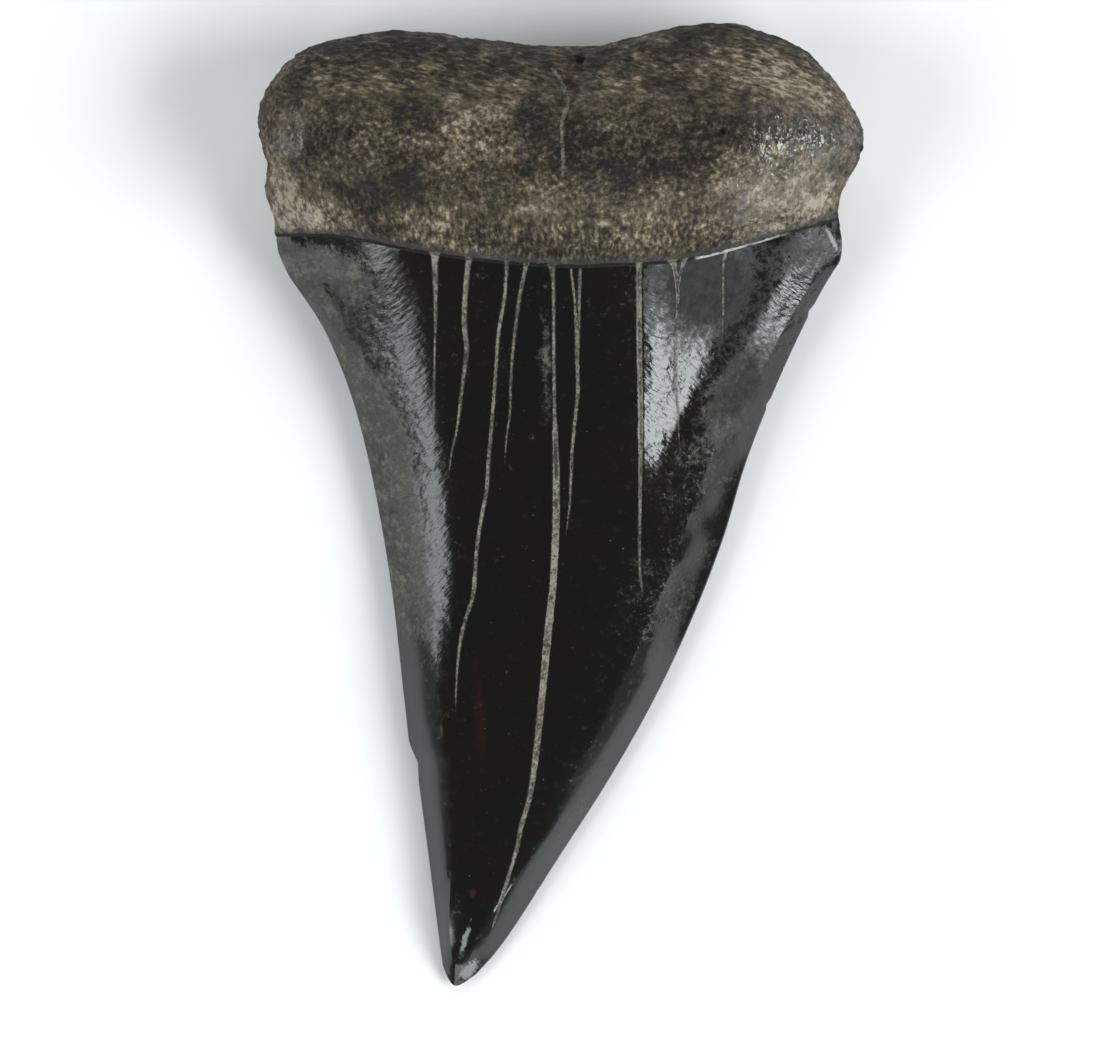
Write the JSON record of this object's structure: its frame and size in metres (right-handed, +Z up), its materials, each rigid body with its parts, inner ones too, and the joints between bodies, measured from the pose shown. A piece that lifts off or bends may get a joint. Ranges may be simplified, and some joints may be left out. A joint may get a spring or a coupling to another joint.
{
  "type": "fossil mako shark tooth",
  "caption": "Large fossil mako shark tooth: a narrow leaning crown of dark enamel with sharp plain edges on a thick two-lobed root, lying on its flat side.",
  "frame": {"origin": "centre of the bounding box in X and Y, on the surface that the tooth lies on", "axes": "+Z up out of the rounded lingual face, +Y from the crown's tip to the root, +X to the right of the crown seen from above with the root away from the viewer"},
  "size_m": [0.0404, 0.0642, 0.0133],
  "materials": {
    "fossil_tooth": "near-black polished enamel crown with pale filled cracks, and a mottled brown, tan and grey rough root"
  },
  "bodies": {
    "root": {"tooth": "fossil_tooth"}
  },
  "joints": []
}
